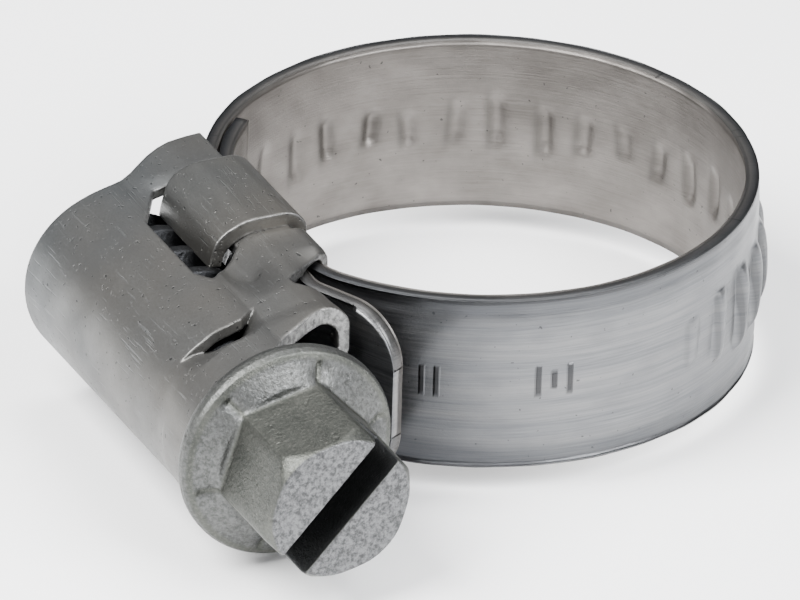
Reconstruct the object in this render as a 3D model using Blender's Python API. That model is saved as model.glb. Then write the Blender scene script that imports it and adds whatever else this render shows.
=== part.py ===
"""Worm-drive hose clamp: one strip of band steel round a hose, a stamped housing, a saddle plate hooked over it, and a worm screw.

Frame: the centre of the ring at half the band's width is the origin, +Z is the ring's axis, the housing lies at -Y, and the screw lies along X with its head at +X.
Everything is in metres; MM turns millimetres into metres.
"""

import math

import bmesh
import bpy
from mathutils import Matrix, Vector

MM = 0.001

# Driving dimensions, in millimetres.
BAND_WIDTH = 9.0
BAND_THICK = 0.7
RING_OUTER_R = 13.3  # outer radius of the ring as supplied, fully open
FIXED_LAP_Y = -11.52  # mid-plane of the fixed end of the band under the screw
TAIL_LAP_Y = -12.30  # mid-plane of the ribbed lap, between the fixed lap and the screw
FIXED_END_X = -8.7  # where the fixed lap ends, inside the ring
FREE_BEND_DEG = 26.0  # how far the free end is turned up towards the ring
FREE_BEND_X = 7.0
FREE_END_LENGTH = 5.3
FREE_CORNER_R = 2.8
RIB_PITCH = 2.2
RIB_HEIGHT = 0.5
RIB_HALF_WIDTH = 2.1
RING_RIBS = 23
SPLIT_TAIL_X = -4.3  # hidden joints in the one strip, so that it can move
SPLIT_TIP_X = 5.4
GAP = 0.06
PIVOT = (5.43, -11.92)  # the line that the free end bends about, at the band's inner face

SCREW_Y = -16.75
SCREW_ROOT_R = 3.2
SCREW_MAJOR_R = 3.9
THREAD_FROM_X, THREAD_TO_X = -3.9, 8.0
GROOVE_X0, GROOVE_X1, GROOVE_R = 9.2, 10.4, 2.7
SHANK_R = 3.85
FLANGE_X0, FLANGE_X1, FLANGE_X2, FLANGE_R = 13.45, 14.5, 15.1, 5.42
HEX_AF = 7.0
HEX_FRONT_X = 20.35
HEX_TURN_DEG = 17.0  # angle of one corner from +Y
SLOT_WIDTH, SLOT_DEPTH = 1.6, 2.6

SHEET = 0.6
BARREL_R = 4.72  # outside
BARREL_TAIL_X, BARREL_FRONT_X, SHOULDER_FRONT_X = -4.85, 13.2, 11.0
SHOULDER_Z = 5.17  # outside
SHOULDER_END_Y = -11.4
SHOULDER_TAIL_X = -7.2
WINDOW_OUTER_Y, WINDOW_INNER_Y = -17.15, -14.2
TAB_X0, TAB_X1 = 3.15, 5.15
LEG_X0, LEG_OUTER_Y, LEG_END_Z = 9.5, -12.0, 2.7

SADDLE_THICK = 0.62
SADDLE_Y = -10.78  # mid-plane
HOOK_X0, HOOK_X1 = -3.4, 2.85
HOOK_THICK = 0.7


def unit(x, y):
    length = math.hypot(x, y)
    return x / length, y / length


def rounded(points, step=0.45):
    """A polyline through (a, b, radius) corners, each rounded by its radius, with the outward normal on its right-hand side."""
    out = []
    for i, (a, b, radius) in enumerate(points):
        if i in (0, len(points) - 1) or radius <= 0:
            out.append((a, b))
            continue
        ua = unit(points[i - 1][0] - a, points[i - 1][1] - b)
        ub = unit(points[i + 1][0] - a, points[i + 1][1] - b)
        half = math.acos(max(-1, min(1, ua[0] * ub[0] + ua[1] * ub[1]))) / 2
        back = radius / math.tan(half)
        bis = unit(ua[0] + ub[0], ua[1] + ub[1])
        centre = (a + bis[0] * radius / math.sin(half), b + bis[1] * radius / math.sin(half))
        p, q = (a + ua[0] * back, b + ua[1] * back), (a + ub[0] * back, b + ub[1] * back)
        a0 = math.atan2(p[1] - centre[1], p[0] - centre[0])
        turn = math.atan2(q[1] - centre[1], q[0] - centre[0]) - a0
        turn = (turn + math.pi) % (2 * math.pi) - math.pi
        n = max(2, int(abs(turn) / math.radians(15)) + 1)
        for k in range(n + 1):
            t = a0 + turn * k / n
            out.append((centre[0] + radius * math.cos(t), centre[1] + radius * math.sin(t)))
    return out


def arc(cx, cy, radius, a0, a1, steps):
    return [
        (cx + radius * math.cos(math.radians(a0 + (a1 - a0) * k / steps)), cy + radius * math.sin(math.radians(a0 + (a1 - a0) * k / steps)))
        for k in range(steps + 1)
    ]


def cleaned(path, least=0.02):
    out = [path[0]]
    for p in path[1:]:
        if math.hypot(p[0] - out[-1][0], p[1] - out[-1][1]) > least:
            out.append(p)
    return out


def normals(path):
    """Unit normals to the right of a path."""
    out = []
    for i in range(len(path)):
        a, b = path[max(i - 1, 0)], path[min(i + 1, len(path) - 1)]
        dx, dy = unit(b[0] - a[0], b[1] - a[1])
        out.append((dy, -dx))
    return out


def length_along(path):
    out = [0.0]
    for a, b in zip(path, path[1:]):
        out.append(out[-1] + math.hypot(b[0] - a[0], b[1] - a[1]))
    return out


def at_lengths(path, wanted):
    """Points of the path at the wanted distances along it."""
    along = length_along(path)
    out, i = [], 0
    for s in wanted:
        while i < len(along) - 2 and along[i + 1] < s:
            i += 1
        t = (s - along[i]) / (along[i + 1] - along[i])
        out.append(tuple(a + (b - a) * t for a, b in zip(path[i], path[i + 1])))
    return out


def obj_from(name, verts, faces, material):
    mesh = bpy.data.meshes.new(name)
    mesh.from_pydata([(x * MM, y * MM, z * MM) for x, y, z in verts], [], faces)
    bm = bmesh.new()
    bm.from_mesh(mesh)
    bmesh.ops.triangulate(bm, faces=[f for f in bm.faces if len(f.verts) > 4])
    bmesh.ops.recalc_face_normals(bm, faces=bm.faces)
    bm.to_mesh(mesh)
    bm.free()
    mesh.shade_smooth()
    mesh.set_sharp_from_angle(angle=math.radians(35))
    obj = bpy.data.objects.new(name, mesh)
    bpy.context.scene.collection.objects.link(obj)
    if material:
        mesh.materials.append(material)
    return obj


def boolean(obj, cutter, operation):
    modifier = obj.modifiers.new(operation.lower(), "BOOLEAN")
    modifier.operation = operation
    modifier.solver = "EXACT"
    modifier.object = cutter
    cutter.hide_render = True
    cutter.display_type = "WIRE"


def steel(name, colour, roughness):
    material = bpy.data.materials.new(name)
    material.use_nodes = True
    shader = material.node_tree.nodes["Principled BSDF"]
    shader.inputs["Base Color"].default_value = (*colour, 1.0)
    shader.inputs["Metallic"].default_value = 1.0
    shader.inputs["Roughness"].default_value = roughness
    return material


def grid_solid(rows_a, rows_b):
    """A closed skin between two grids of points with the same shape: the two faces and the four edges."""
    n, m = len(rows_a), len(rows_a[0])
    verts = [p for row in rows_a for p in row] + [p for row in rows_b for p in row]
    a = lambda i, j: i * m + j
    b = lambda i, j: n * m + i * m + j
    faces = []
    for i in range(n - 1):
        for j in range(m - 1):
            faces.append((a(i, j), a(i + 1, j), a(i + 1, j + 1), a(i, j + 1)))
            faces.append((b(i, j), b(i, j + 1), b(i + 1, j + 1), b(i + 1, j)))
        faces.append((a(i, 0), b(i, 0), b(i + 1, 0), a(i + 1, 0)))
        faces.append((a(i, m - 1), a(i + 1, m - 1), b(i + 1, m - 1), b(i, m - 1)))
    for j in range(m - 1):
        faces.append((a(0, j), a(0, j + 1), b(0, j + 1), b(0, j)))
        faces.append((a(n - 1, j), b(n - 1, j), b(n - 1, j + 1), a(n - 1, j + 1)))
    return verts, faces


def strip(name, path, material, ribs=(), half_width=None, slant=0.0):
    """Band steel along a path in XY, its outer face to the path's right. ribs are distances along the path, each pressed outwards across the middle of the width."""
    along = length_along(path)
    total = along[-1]
    marks = set(along)
    for s in ribs:
        marks |= {s + d for d in (-0.72, -0.3, 0.3, 0.72) if 0 < s + d < total}
    # Points of the plain path that fall on a rib would only add slivers.
    stations = []
    for s in sorted(marks):
        on_rib = any(abs(s - r) < 0.75 for r in ribs) and not any(abs(abs(s - r) - d) < 1e-9 for r in ribs for d in (0.3, 0.72))
        if on_rib and s not in (0.0, total):
            continue
        if not stations or s - stations[-1] > 0.05:
            stations.append(s)
    stations[-1] = total
    centre = at_lengths(path, stations)
    side = normals(centre)
    columns = (-1.0, -RIB_HALF_WIDTH / 4.5, -1.3 / 4.5, 1.3 / 4.5, RIB_HALF_WIDTH / 4.5, 1.0) if ribs else (-1.0, 0.0, 1.0)
    outer, inner = [], []
    for s, (x, y), (nx, ny) in zip(stations, centre, side):
        half = half_width(s) if half_width else BAND_WIDTH / 2
        near = min((abs(s - r) for r in ribs), default=9)
        rise = RIB_HEIGHT if near <= 0.31 else 0.0
        tx, ty = -ny, nx
        row_o, row_i = [], []
        for c in columns:
            z = c * half
            h = rise if abs(c) * 4.5 < 1.5 else 0.0
            lean = slant * z if abs(c) < 0.9 and near < 0.75 else 0.0
            row_o.append((x + nx * (BAND_THICK / 2 + h) + tx * lean, y + ny * (BAND_THICK / 2 + h) + ty * lean, z))
            row_i.append((x - nx * (BAND_THICK / 2 - 0.55 * h) + tx * lean, y - ny * (BAND_THICK / 2 - 0.55 * h) + ty * lean, z))
        outer.append(row_o)
        inner.append(row_i)
    return obj_from(name, *grid_solid(outer, inner), material)


def tangent_blend(lap_y, ring_r, blend_r):
    """Where a straight lap at lap_y must end, at x and -x, for an arc of blend_r to run into a ring of ring_r, and the arc's angle."""
    x0 = math.sqrt((ring_r - blend_r) ** 2 - (lap_y + blend_r) ** 2)
    return x0, math.degrees(math.atan2(x0, -(lap_y + blend_r)))


for old in list(bpy.data.objects):
    bpy.data.objects.remove(old, do_unlink=True)

BAND_STEEL = steel("band_steel", (0.46, 0.46, 0.45), 0.38)
HOUSING_STEEL = steel("housing_steel", (0.30, 0.31, 0.29), 0.45)
SADDLE_STEEL = steel("saddle_steel", (0.34, 0.34, 0.32), 0.42)
SCREW_STEEL = steel("screw_steel", (0.42, 0.42, 0.40), 0.5)

# --- band: fixed lap, ring and ribbed lap, one strip that is split only where the housing hides it ---
ring_mid = RING_OUTER_R - BAND_THICK / 2
inner_mid = ring_mid - BAND_THICK - 0.1
head_x, head_deg = tangent_blend(FIXED_LAP_Y, ring_mid, 5.0)
tail_x, tail_deg = tangent_blend(TAIL_LAP_Y, ring_mid, 4.0)
end_x, end_deg = tangent_blend(FIXED_LAP_Y, inner_mid, 4.0)
path = arc(0, 0, inner_mid, 270 - math.degrees(math.asin(-FIXED_END_X / inner_mid)), 270 - end_deg, 5)
path += arc(-end_x, FIXED_LAP_Y + 4.0, 4.0, 270 - end_deg, 270, 4)
path += arc(head_x, FIXED_LAP_Y + 5.0, 5.0, 270, 270 + head_deg, 4)
path += arc(0, 0, ring_mid, 270 + head_deg, 270 + 360 - tail_deg, 52)
path += arc(-tail_x, TAIL_LAP_Y + 4.0, 4.0, 270 - tail_deg, 270, 4)
path += [(SPLIT_TAIL_X if SPLIT_TAIL_X > -tail_x else -tail_x + 0.4, TAIL_LAP_Y)]
path = cleaned(path)
ring_total = length_along(path)[-1]
# The ribs' phase is that of the thread: one rib midway between crests, at x = RIB_X0 + k * RIB_PITCH.
RIB_X0 = -0.85
ring_end_x = path[-1][0]
ring_ribs = [ring_total - (RIB_X0 - ring_end_x) - k * RIB_PITCH for k in range(1, RING_RIBS + 1)]
ring_ribs = [s for s in ring_ribs if s < ring_total - 0.8]
band_ring = strip("band_ring", path, BAND_STEEL, ring_ribs)

HELIX = RIB_PITCH / (2 * math.pi * SCREW_MAJOR_R)
tail_from = ring_end_x + 0.08
tail_ribs = [RIB_X0 + k * RIB_PITCH - tail_from for k in range(-2, 4)]
tail_ribs = [s for s in tail_ribs if 0.75 < s < SPLIT_TIP_X - tail_from - 0.75]
band_tail = strip("band_tail", [(tail_from, TAIL_LAP_Y), (SPLIT_TIP_X, TAIL_LAP_Y)], BAND_STEEL, tail_ribs, slant=HELIX)

turned = math.radians(FREE_BEND_DEG)
free_from = SPLIT_TIP_X + GAP
tip_path = rounded(
    [
        (free_from, TAIL_LAP_Y, 0),
        (FREE_BEND_X + 0.35, TAIL_LAP_Y, 2.0),
        (FREE_BEND_X + 0.35 + FREE_END_LENGTH * math.cos(turned), TAIL_LAP_Y + FREE_END_LENGTH * math.sin(turned), 0),
    ]
)
tip_total = length_along(tip_path)[-1]
corner = [tip_total - FREE_CORNER_R + FREE_CORNER_R * math.sin(math.radians(a)) for a in range(0, 91, 15)]
tip_stations = [s for s in length_along(tip_path) if s < corner[0] - 0.05] + corner


def tip_half(s):
    d = max(0.0, s - (tip_total - FREE_CORNER_R))
    return BAND_WIDTH / 2 - FREE_CORNER_R + math.sqrt(max(0.0, FREE_CORNER_R**2 - d * d))


band_tip = strip("band_tip", at_lengths(tip_path, tip_stations), BAND_STEEL, half_width=tip_half)

# --- worm screw: one turned and rolled piece, with a rolled thread and a slotted hexagon head ---
flat = HEX_AF / 2
corner_r = flat / math.cos(math.radians(30))


def hex_radius(degrees):
    within = (degrees - HEX_TURN_DEG) % 60 - 30
    return flat / math.cos(math.radians(within))


# (x, radius of revolution, follows the hexagon)
profile = [
    (-4.5, 1.9, False), (-4.3, 2.4, False), (-3.9, SCREW_ROOT_R, False), (0.0, SCREW_ROOT_R, False), (4.5, SCREW_ROOT_R, False), (8.8, SCREW_ROOT_R, False),
    (GROOVE_X0, GROOVE_R, False), (GROOVE_X1, GROOVE_R, False), (GROOVE_X1 + 0.3, SHANK_R, False), (FLANGE_X0, SHANK_R, False),
    (FLANGE_X0, FLANGE_R - 0.25, False), (FLANGE_X0 + 0.25, FLANGE_R, False), (FLANGE_X0 + 0.7, FLANGE_R - 0.05, False), (FLANGE_X1, FLANGE_R - 0.35, False),
    (FLANGE_X2, corner_r + 0.12, False), (FLANGE_X2, corner_r, True), (HEX_FRONT_X - 0.6, corner_r, True), (HEX_FRONT_X - 0.2, corner_r - 0.12, True),
    (HEX_FRONT_X, corner_r - 0.4, True),
]  # fmt: skip
around = [HEX_TURN_DEG + 10 * k for k in range(36)]
verts = [(profile[0][0], SCREW_Y, 0.0)]
for x, r, is_hex in profile:
    for degrees in around:
        radius = min(r, hex_radius(degrees)) if is_hex else r
        verts.append((x, SCREW_Y + radius * math.cos(math.radians(degrees)), radius * math.sin(math.radians(degrees))))
verts.append((profile[-1][0], SCREW_Y, 0.0))
n = len(around)
faces = [(0, 1 + k, 1 + (k + 1) % n) for k in range(n)]
for i in range(len(profile) - 1):
    for k in range(n):
        faces.append((1 + i * n + k, 1 + i * n + (k + 1) % n, 1 + (i + 1) * n + (k + 1) % n, 1 + (i + 1) * n + k))
last = 1 + (len(profile) - 1) * n
faces += [(last + (k + 1) % n, last + k, len(verts) - 1) for k in range(n)]
worm_screw = obj_from("worm_screw", verts, faces, SCREW_STEEL)

# The thread: a trapezium swept right-handed along X, fading into the core at both ends. A crest passes midway between two ribs on the +Y side.
per_turn = 24
crest_x = RIB_X0 + RIB_PITCH / 2
turns = (THREAD_TO_X - THREAD_FROM_X) / RIB_PITCH
start = THREAD_FROM_X
steps = int(turns * per_turn)
thread_verts, thread_faces = [], []
for i in range(steps + 1):
    x = start + i * RIB_PITCH / per_turn
    angle = 2 * math.pi * (x - crest_x) / RIB_PITCH
    fade = min(1.0, i / 8, (steps - i) / 8)
    top = SCREW_ROOT_R - 0.1 + (SCREW_MAJOR_R - SCREW_ROOT_R + 0.1) * fade
    for dx, r in ((-0.52, SCREW_ROOT_R - 0.35), (-0.2, top), (0.2, top), (0.52, SCREW_ROOT_R - 0.35)):
        thread_verts.append((x + dx, SCREW_Y + r * math.cos(angle), r * math.sin(angle)))
for i in range(steps):
    for k in range(4):
        a, b = 4 * i + k, 4 * i + (k + 1) % 4
        thread_faces.append((a, b, b + 4, a + 4))
thread_faces += [(3, 2, 1, 0), (4 * steps, 4 * steps + 1, 4 * steps + 2, 4 * steps + 3)]
thread = obj_from("thread_form", thread_verts, thread_faces, None)
boolean(worm_screw, thread, "UNION")


def box_obj(name, x0, x1, y0, y1, z0, z1, turn_deg=0.0, centre=(0.0, 0.0)):
    """A box, turned about X through centre (y, z)."""
    c, s = math.cos(math.radians(turn_deg)), math.sin(math.radians(turn_deg))
    corners = []
    for x in (x0, x1):
        for y, z in ((y0, z0), (y1, z0), (y1, z1), (y0, z1)):
            corners.append((x, centre[0] + y * c - z * s, centre[1] + y * s + z * c))
    return obj_from(name, corners, [(0, 1, 2, 3), (7, 6, 5, 4), (0, 4, 5, 1), (1, 5, 6, 2), (2, 6, 7, 3), (3, 7, 4, 0)], None)


slot = box_obj("slot_form", HEX_FRONT_X - SLOT_DEPTH, HEX_FRONT_X + 1, -5, 5, -SLOT_WIDTH / 2, SLOT_WIDTH / 2, HEX_TURN_DEG + 30, (SCREW_Y, 0))
boolean(worm_screw, slot, "DIFFERENCE")

# --- housing: one stamping, a barrel over the screw with a waist and a shoulder over each edge of the band ---
mid_r = BARREL_R - SHEET / 2
shoulder_mid = SHOULDER_Z - SHEET / 2
leave = 80.0
neck = (SCREW_Y + mid_r * math.cos(math.radians(leave)) + 0.9 * math.sin(math.radians(leave)), mid_r * math.sin(math.radians(leave)) - 0.9 * math.cos(math.radians(leave)))
upper = rounded(
    [(SHOULDER_END_Y, shoulder_mid, 0), (-13.5, shoulder_mid, 1.6), (*neck, 1.6), (SCREW_Y + mid_r * math.cos(math.radians(leave)), mid_r * math.sin(math.radians(leave)), 0)]
)
barrel = arc(SCREW_Y, 0, mid_r, leave, 360 - leave, 22)
section = cleaned(upper + barrel + [(y, -z) for y, z in reversed(upper)])


TAIL_EDGE = ((-17.2, BARREL_TAIL_X), (-16.2, -5.3), (-15.2, -6.0), (-13.5, -6.8), (SHOULDER_END_Y, SHOULDER_TAIL_X))


def tail_edge(y):
    """The stamping's tail edge: square on the barrel, then curving out over the shoulder."""
    if y <= TAIL_EDGE[0][0]:
        return TAIL_EDGE[0][1]
    for (y0, x0), (y1, x1) in zip(TAIL_EDGE, TAIL_EDGE[1:]):
        if y <= y1:
            return x0 + (x1 - x0) * (y - y0) / (y1 - y0)
    return TAIL_EDGE[-1][1]


def waist_lift(x, y):
    """The waist fades out towards the tail edge, where the barrel runs straight up into the shoulder."""
    fade = max(0.0, min(1.0, (-1.5 - x) / 3.5))
    return 0.4 * fade * max(0.0, 1.0 - ((y + 15.3) / 1.0) ** 2)


def front_edge(y):
    t = max(0.0, min(1.0, (y + 17.6) / 4.4))
    return BARREL_FRONT_X + (SHOULDER_FRONT_X - BARREL_FRONT_X) * t


rows_o, rows_i = [], []
side = normals(section)
for (y, z), (ny, nz) in zip(section, side):
    x0, x1 = tail_edge(y), front_edge(y)
    xs = [x0 + (x1 - x0) * k / 8 for k in range(9)]
    # The section runs from the top shoulder round the barrel, so its right-hand side faces out.
    up = 1 if z > 0 else -1
    rows_o.append([(x, y + ny * SHEET / 2, z + nz * SHEET / 2 + up * waist_lift(x, y)) for x in xs])
    rows_i.append([(x, y - ny * SHEET / 2, z - nz * SHEET / 2 + up * waist_lift(x, y)) for x in xs])
housing = obj_from("housing", *grid_solid(rows_o, rows_i), HOUSING_STEEL)


def prism(name, outline, z0, z1):
    """An outline in XY, extruded in Z."""
    k = len(outline)
    verts = [(x, y, z0) for x, y in outline] + [(x, y, z1) for x, y in outline]
    faces = [tuple(reversed(range(k))), tuple(range(k, 2 * k))] + [(i, (i + 1) % k, k + (i + 1) % k, k + i) for i in range(k)]
    return obj_from(name, verts, faces, None)


def sheet_part(name, path_yz, x_ranges, thick, material=None):
    """A bent sheet with a section in YZ; x_ranges gives (x0, x1) at each point of the section."""
    side = normals(path_yz)
    a, b = [], []
    for (y, z), (ny, nz), (x0, x1) in zip(path_yz, side, x_ranges):
        a.append([(x, y + ny * thick / 2, z + nz * thick / 2) for x in (x0, x1)])
        b.append([(x, y - ny * thick / 2, z - nz * thick / 2) for x in (x0, x1)])
    return obj_from(name, *grid_solid(a, b), material)


for sign, tag in ((1, "top"), (-1, "bottom")):
    # Window for the hook, through the waist.
    y0, y1 = WINDOW_OUTER_Y, WINDOW_INNER_Y
    outline = [(-0.9, y0), (4.7, y0), (5.3, y0 + 0.25), (5.4, y0 + 0.7), (3.0, y1), (HOOK_X0 - 0.15, y1), (HOOK_X0 - 0.15, -15.6), (-1.9, -16.35), (-1.35, y0 + 0.2)]
    window = prism(f"window_{tag}", outline, *sorted((sign * 2.5, sign * 7.0)))
    boolean(housing, window, "DIFFERENCE")
    # Round-bottomed notch in front of the folded tab.
    base = (7.05, -13.25)
    notch = prism(
        f"notch_{tag}",
        [(TAB_X1, -10.0), (TAB_X1, -11.2)] + [(base[0] + 0.42 * math.cos(math.radians(a)), base[1] + 0.42 * math.sin(math.radians(a))) for a in range(180, 361, 30)] + [(7.8, -12.5), (8.1, -12.2), (11.5, -12.2), (11.5, -10.0)],
        *sorted((sign * 4.0, sign * 6.0)),
    )
    boolean(housing, notch, "DIFFERENCE")
    # Tab folded over the band's edge and down on the inside of the ring.
    fold = rounded([(-12.4, sign * shoulder_mid, 0), (SADDLE_Y, sign * shoulder_mid, 0.4), (SADDLE_Y, sign * 3.5, 0)])
    fold = cleaned(fold)
    tab = sheet_part(f"tab_{tag}", fold, [(TAB_X0, TAB_X1)] * len(fold), SHEET)
    boolean(housing, tab, "UNION")
    # Leg in front, turned down between the band and the screw's shank.
    leg_y = LEG_OUTER_Y - SHEET / 2
    down = cleaned(rounded([(-13.6, sign * shoulder_mid, 0), (leg_y, sign * shoulder_mid, 0.8), (leg_y, sign * LEG_END_Z, 0)]))
    leg = sheet_part(f"leg_{tag}", down, [(LEG_X0, SHOULDER_FRONT_X)] * len(down), SHEET)
    boolean(housing, leg, "UNION")

# Lip pressed into the barrel: it runs in the screw's groove and keeps the screw in.
lip = [(SCREW_Y + r * math.cos(math.radians(a)), r * math.sin(math.radians(a))) for a, r in [(a, 3.05) for a in range(90, 141, 10)] + [(a, 4.4) for a in range(140, 89, -10)]]
k = len(lip)
lip_verts = [(x, y, z) for x in (GROOVE_X0 + 0.35, GROOVE_X1 - 0.25) for y, z in lip]
lip_obj = obj_from("lip_form", lip_verts, [tuple(reversed(range(k))), tuple(range(k, 2 * k))] + [(i, (i + 1) % k, k + (i + 1) % k, k + i) for i in range(k)], None)
boolean(housing, lip_obj, "UNION")

# --- saddle plate: lies inside the ring under the fixed lap, with a tab at each edge hooked over the shoulder into the window ---
hook_outer_z = SHOULDER_Z + 0.06 + HOOK_THICK
hook_mid = hook_outer_z - HOOK_THICK / 2
half_hook = rounded(
    [
        (SADDLE_Y, 3.1, 0),
        (SADDLE_Y, hook_mid, 0.75),
        (-13.9, hook_mid, 1.6),
        (-14.95, 4.75, 0.8),
        (-15.1, 4.0, 0),
    ]
)
plate = sheet_part("saddle_bridge", [(SADDLE_Y, 3.2), (SADDLE_Y, 0.0), (SADDLE_Y, -3.2)], [(HOOK_X0, 5.0)] * 3, SADDLE_THICK, SADDLE_STEEL)
for sign, tag in ((1, "top"), (-1, "bottom")):
    hook = cleaned([(y, sign * z) for y, z in half_hook])
    hook_obj = sheet_part(f"hook_{tag}", hook, [(HOOK_X0, HOOK_X1)] * len(hook), SADDLE_THICK)
    boolean(plate, hook_obj, "UNION")


def place_origin(obj, x, y, z):
    """Moves the object's origin to a point of its joint's axis and leaves its shape where it is."""
    at = Vector((x * MM, y * MM, z * MM))
    obj.data.transform(Matrix.Translation(-at))
    obj.location = at


place_origin(worm_screw, 0.0, SCREW_Y, 0.0)
place_origin(band_tail, SPLIT_TIP_X, TAIL_LAP_Y, 0.0)
place_origin(band_tip, *PIVOT, 0.0)
band_tip.parent = band_tail
band_tip.location = band_tip.location - band_tail.location
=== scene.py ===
"""Looks of the worm-drive hose clamp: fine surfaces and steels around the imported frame. Lengths inside are millimetres; MM turns them into metres."""

import math

import bmesh
import bpy
import numpy as np
from mathutils import Matrix, Vector


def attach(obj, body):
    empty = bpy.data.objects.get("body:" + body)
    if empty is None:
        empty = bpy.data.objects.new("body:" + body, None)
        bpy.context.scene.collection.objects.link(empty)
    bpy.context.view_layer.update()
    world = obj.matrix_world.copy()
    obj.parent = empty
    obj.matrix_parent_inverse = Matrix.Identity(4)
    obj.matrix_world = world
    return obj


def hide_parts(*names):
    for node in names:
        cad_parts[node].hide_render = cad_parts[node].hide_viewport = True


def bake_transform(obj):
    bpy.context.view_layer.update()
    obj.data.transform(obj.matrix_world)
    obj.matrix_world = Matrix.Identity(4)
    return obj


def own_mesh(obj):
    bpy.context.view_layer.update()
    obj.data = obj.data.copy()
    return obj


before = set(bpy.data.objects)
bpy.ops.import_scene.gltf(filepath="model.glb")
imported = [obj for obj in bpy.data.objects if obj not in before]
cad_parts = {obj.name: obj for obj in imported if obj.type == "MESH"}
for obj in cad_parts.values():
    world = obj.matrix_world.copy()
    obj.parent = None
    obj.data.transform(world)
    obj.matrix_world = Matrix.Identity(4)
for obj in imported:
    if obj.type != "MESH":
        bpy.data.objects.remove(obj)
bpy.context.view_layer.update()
MM = 0.001

# Driving sizes, the same as the CAD part's.
BAND_WIDTH, BAND_THICK, RING_OUTER_R = 9.0, 0.7, 13.3
FIXED_LAP_Y, TAIL_LAP_Y = -11.52, -12.30
RIB_PITCH, RIB_X0, RING_RIBS = 2.2, -0.85, 23
SCREW_Y, BARREL_R, SHEET = -16.75, 4.72, 0.6
HEX_AF, HEX_FRONT_X, HEX_TURN = 7.0, 20.35, 13.0

# ---------------------------------------------------------------- camera
el, azimuth, roll = math.radians(28.86), math.radians(63.9), math.radians(-1.69)
right = Vector((0.4399, 0.8980, 0.0)).normalized()
look = Vector((-0.8980 * math.cos(el), 0.4399 * math.cos(el), -math.sin(el))).normalized()
up = right.cross(look)
cam_right = right * math.cos(roll) - up * math.sin(roll)
cam_up = up * math.cos(roll) + right * math.sin(roll)
camera_data = bpy.data.cameras.new("camera")
camera_data.sensor_width = 36.0
camera_data.lens = 1250.0
camera_data.clip_start, camera_data.clip_end = 0.1, 20.0
camera = bpy.data.objects.new("camera", camera_data)
bpy.context.scene.collection.objects.link(camera)
centre = Vector((-0.510, -3.808, -2.209)) * MM
basis = Matrix((cam_right, cam_up, -look)).transposed().to_4x4()
camera.matrix_world = Matrix.Translation(centre - look * 1.3222) @ basis
bpy.context.scene.camera = camera


# ---------------------------------------------------------------- curves and fields
def unit(x, y):
    length = math.hypot(x, y)
    return x / length, y / length


def rounded(points, degrees=5.0):
    """A polyline through (a, b, radius) corners, each rounded by its radius."""
    out = []
    for i, (a, b, radius) in enumerate(points):
        if i in (0, len(points) - 1) or radius <= 0:
            out.append((a, b))
            continue
        ua = unit(points[i - 1][0] - a, points[i - 1][1] - b)
        ub = unit(points[i + 1][0] - a, points[i + 1][1] - b)
        half = math.acos(max(-1, min(1, ua[0] * ub[0] + ua[1] * ub[1]))) / 2
        back = radius / math.tan(half)
        bis = unit(ua[0] + ub[0], ua[1] + ub[1])
        c = (a + bis[0] * radius / math.sin(half), b + bis[1] * radius / math.sin(half))
        p, q = (a + ua[0] * back, b + ua[1] * back), (a + ub[0] * back, b + ub[1] * back)
        a0 = math.atan2(p[1] - c[1], p[0] - c[0])
        turn = (math.atan2(q[1] - c[1], q[0] - c[0]) - a0 + math.pi) % (2 * math.pi) - math.pi
        n = max(2, int(abs(math.degrees(turn)) / degrees) + 1)
        out += [(c[0] + radius * math.cos(a0 + turn * k / n), c[1] + radius * math.sin(a0 + turn * k / n)) for k in range(n + 1)]
    return out


def arc(cx, cy, radius, a0, a1, steps):
    return [(cx + radius * math.cos(math.radians(a0 + (a1 - a0) * k / steps)), cy + radius * math.sin(math.radians(a0 + (a1 - a0) * k / steps))) for k in range(steps + 1)]


def segment_distance(px, py, line):
    best = np.full(np.broadcast(px, py).shape, 1e9)
    for (ax, ay), (bx, by) in zip(line, line[1:]):
        dx, dy = bx - ax, by - ay
        n = dx * dx + dy * dy
        if n < 1e-12:
            continue
        t = np.clip(((px - ax) * dx + (py - ay) * dy) / n, 0, 1)
        best = np.minimum(best, (px - ax - t * dx) ** 2 + (py - ay - t * dy) ** 2)
    return np.sqrt(best)


def polygon_distance(px, py, pts):
    """Signed distance to a closed outline, negative inside."""
    d = segment_distance(px, py, pts + pts[:1])
    inside = np.zeros(np.broadcast(px, py).shape, bool)
    for (ax, ay), (bx, by) in zip(pts, pts[1:] + pts[:1]):
        if ay == by:
            continue
        crosses = ((ay > py) != (by > py)) & (px < (bx - ax) * (py - ay) / (by - ay) + ax)
        inside ^= crosses
    return np.where(inside, -d, d)


class Field:
    """A 2-D distance field kept as a table, read by bilinear interpolation."""

    def __init__(self, lo, hi, function, step=0.04):
        self.lo, self.step = lo, step
        a = np.arange(lo[0], hi[0] + step, step)[:, None]
        b = np.arange(lo[1], hi[1] + step, step)[None, :]
        self.table = function(a, b).astype(np.float32)

    def __call__(self, a, b):
        u = np.clip((a - self.lo[0]) / self.step, 0, self.table.shape[0] - 1.001)
        v = np.clip((b - self.lo[1]) / self.step, 0, self.table.shape[1] - 1.001)
        i, j = u.astype(np.int32), v.astype(np.int32)
        fu, fv = u - i, v - j
        t = self.table
        return (t[i, j] * (1 - fu) + t[i + 1, j] * fu) * (1 - fv) + (t[i, j + 1] * (1 - fu) + t[i + 1, j + 1] * fu) * fv


def smax(a, b, k):
    h = np.maximum(k - np.abs(a - b), 0) / k
    return np.maximum(a, b) + h * h * k * 0.25


def smin(a, b, k):
    return -smax(-a, -b, k)


def smooth(a, b, x):
    t = np.clip((x - a) / (b - a), 0, 1)
    return t * t * (3 - 2 * t)


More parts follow.
